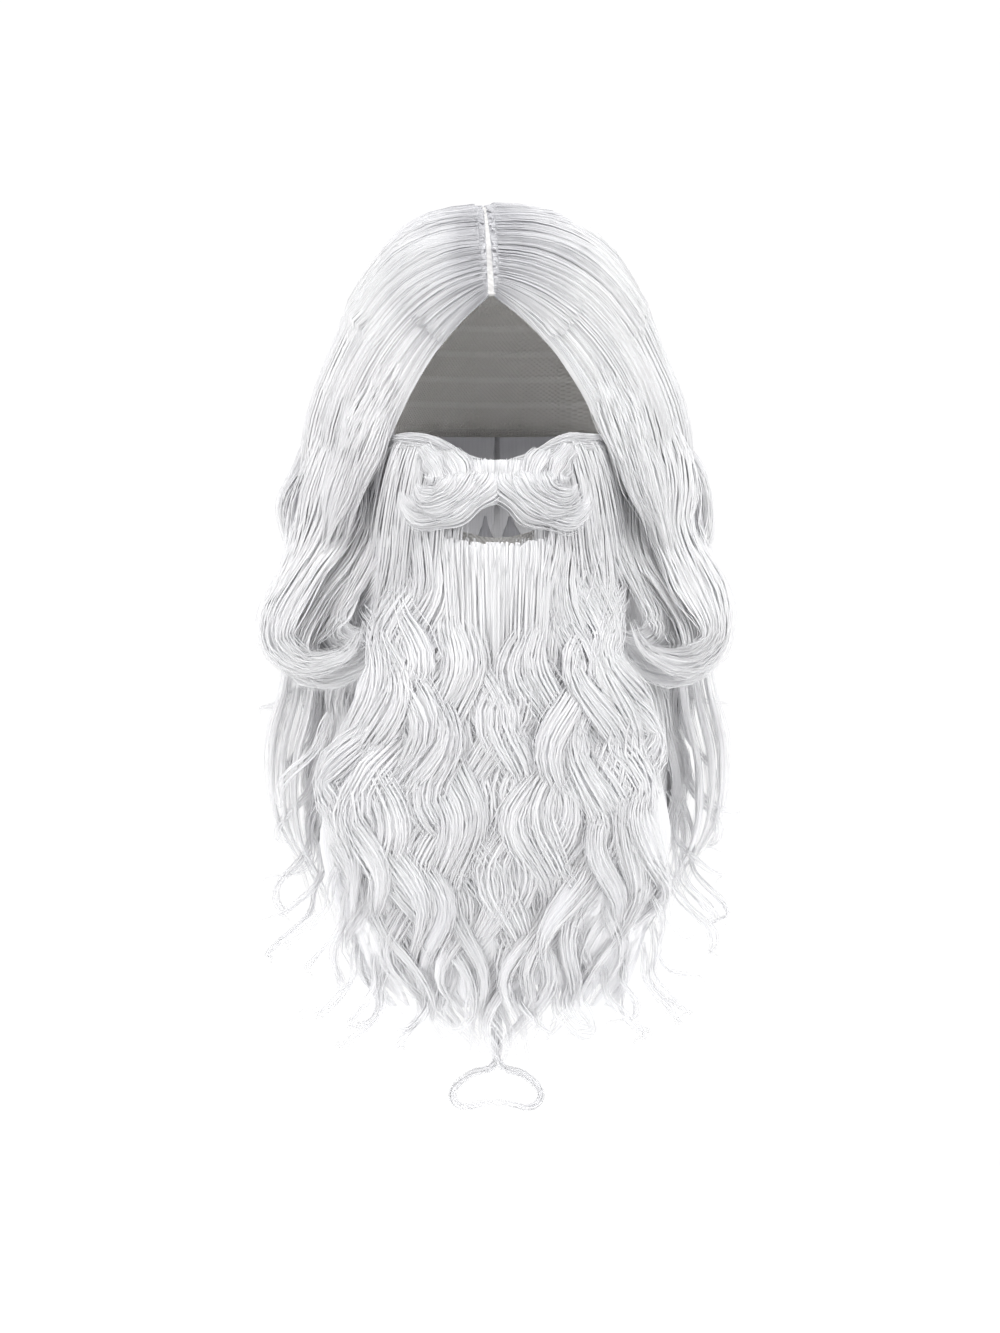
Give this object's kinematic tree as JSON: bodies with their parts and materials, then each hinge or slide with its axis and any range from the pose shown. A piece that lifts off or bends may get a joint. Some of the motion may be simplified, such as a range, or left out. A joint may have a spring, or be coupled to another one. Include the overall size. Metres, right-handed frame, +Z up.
{
  "type": "wig and beard set",
  "caption": "Long wavy costume wig with a centre parting and a matching full beard with a moustache and an open mouth, in the form they have when worn",
  "frame": {"origin": "the top of the head that wears the set, on the inside of the cap", "axes": "-Y is the way the face looks, +X is to the right as seen from the front, +Z is up"},
  "size_m": [0.2678, 0.2574, 0.5113],
  "materials": {
    "hair": "glossy white synthetic fibre",
    "net": "matt off-white net and weft bands",
    "skin_top": "matt pale parting strip",
    "elastic": "matt woven elastic"
  },
  "bodies": {
    "root": {"wig_cap": "net", "parting_strip": "skin_top", "front_hair_left": "hair", "front_hair_right": "hair", "side_waves_left": "hair", "side_waves_right": "hair", "back_waves": "hair", "beard_backing": "net", "beard_strap": "elastic", "beard_hair": "hair", "moustache_left": "hair", "moustache_right": "hair"}
  },
  "joints": []
}
